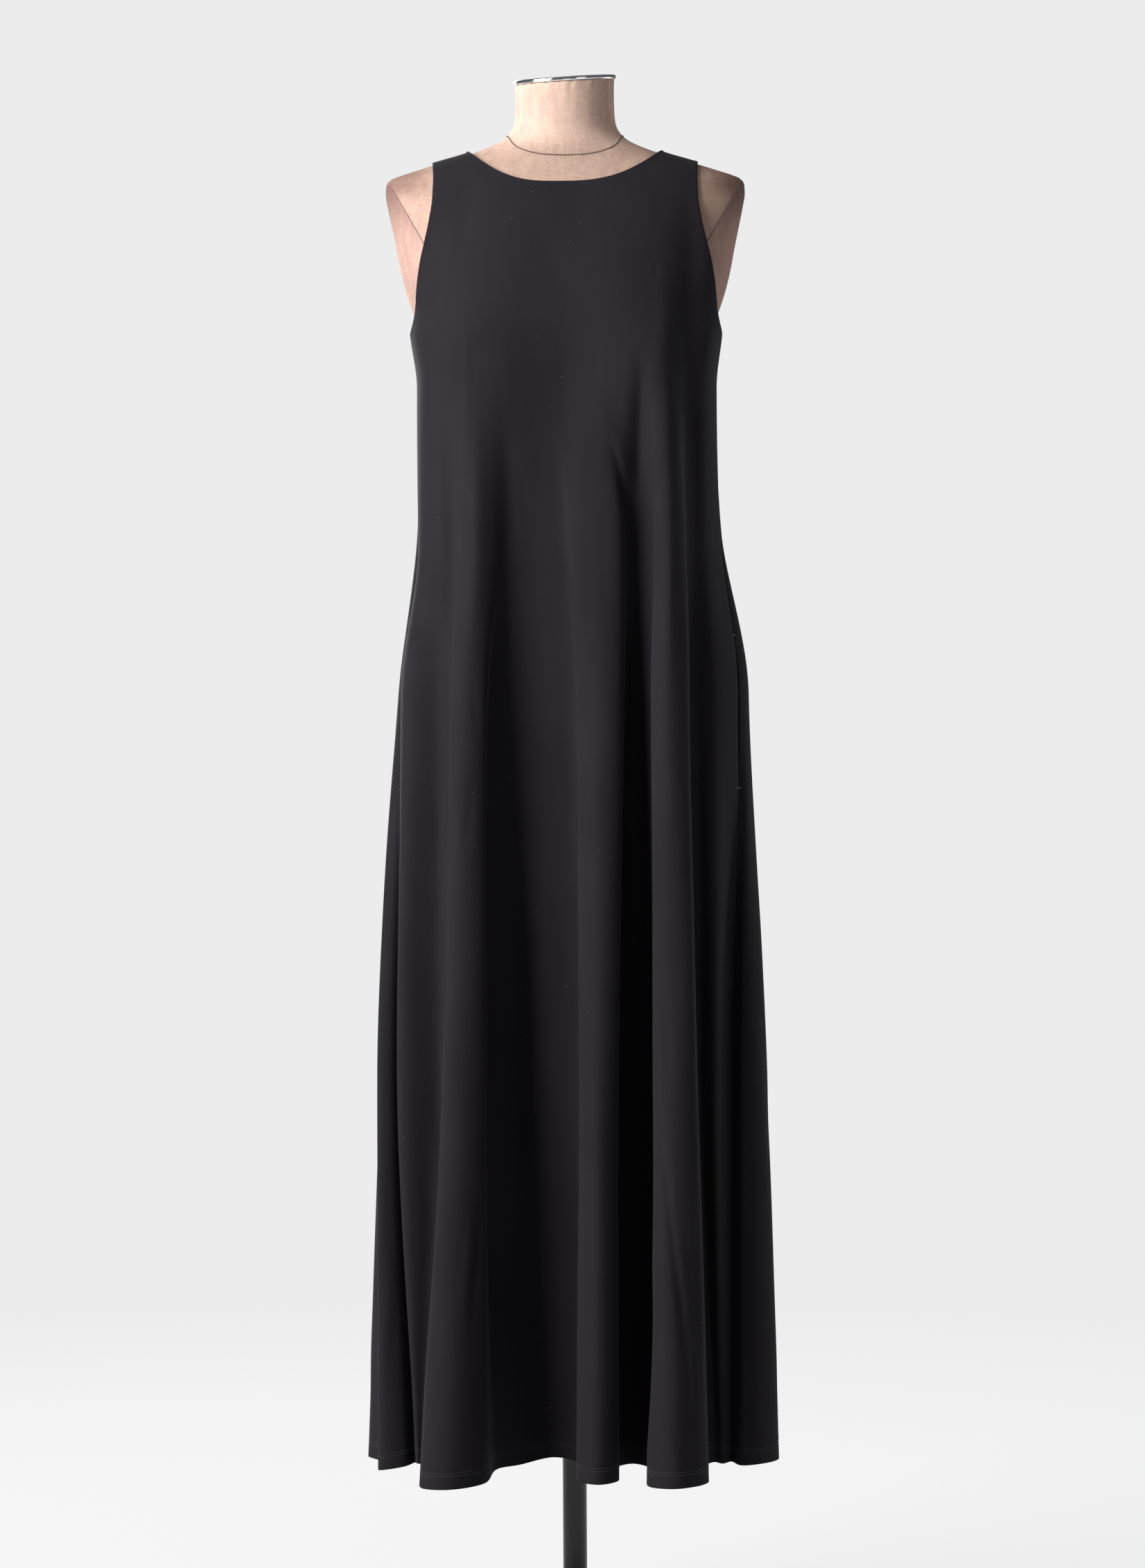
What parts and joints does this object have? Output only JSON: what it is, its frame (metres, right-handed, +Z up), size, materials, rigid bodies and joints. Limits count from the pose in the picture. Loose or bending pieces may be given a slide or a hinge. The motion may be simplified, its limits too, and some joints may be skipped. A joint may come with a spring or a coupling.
{
  "type": "maxi dress on a dress form",
  "caption": "Long sleeveless A-line dress with a round neckline, deep skirt folds and side-seam pockets, worn by a limbless dress form on a pole and round base.",
  "frame": {"origin": "on the floor, at the middle of the round base's underside", "axes": "+Z up along the pole, +X towards the wearer's left, -Y towards the front of the dress"},
  "size_m": [0.4314, 0.3914, 1.6508],
  "materials": {
    "jersey": "matt jersey knit",
    "form_cover": "plain woven linen",
    "cap_metal": "polished",
    "stand_metal": "satin black"
  },
  "bodies": {
    "root": {"dress_front": "jersey", "dress_back": "jersey", "pocket_right": "jersey", "pocket_left": "jersey", "form_torso": "form_cover", "neck_cap": "cap_metal", "form_flange": "stand_metal", "pole": "stand_metal", "stand_base": "stand_metal"}
  },
  "joints": []
}
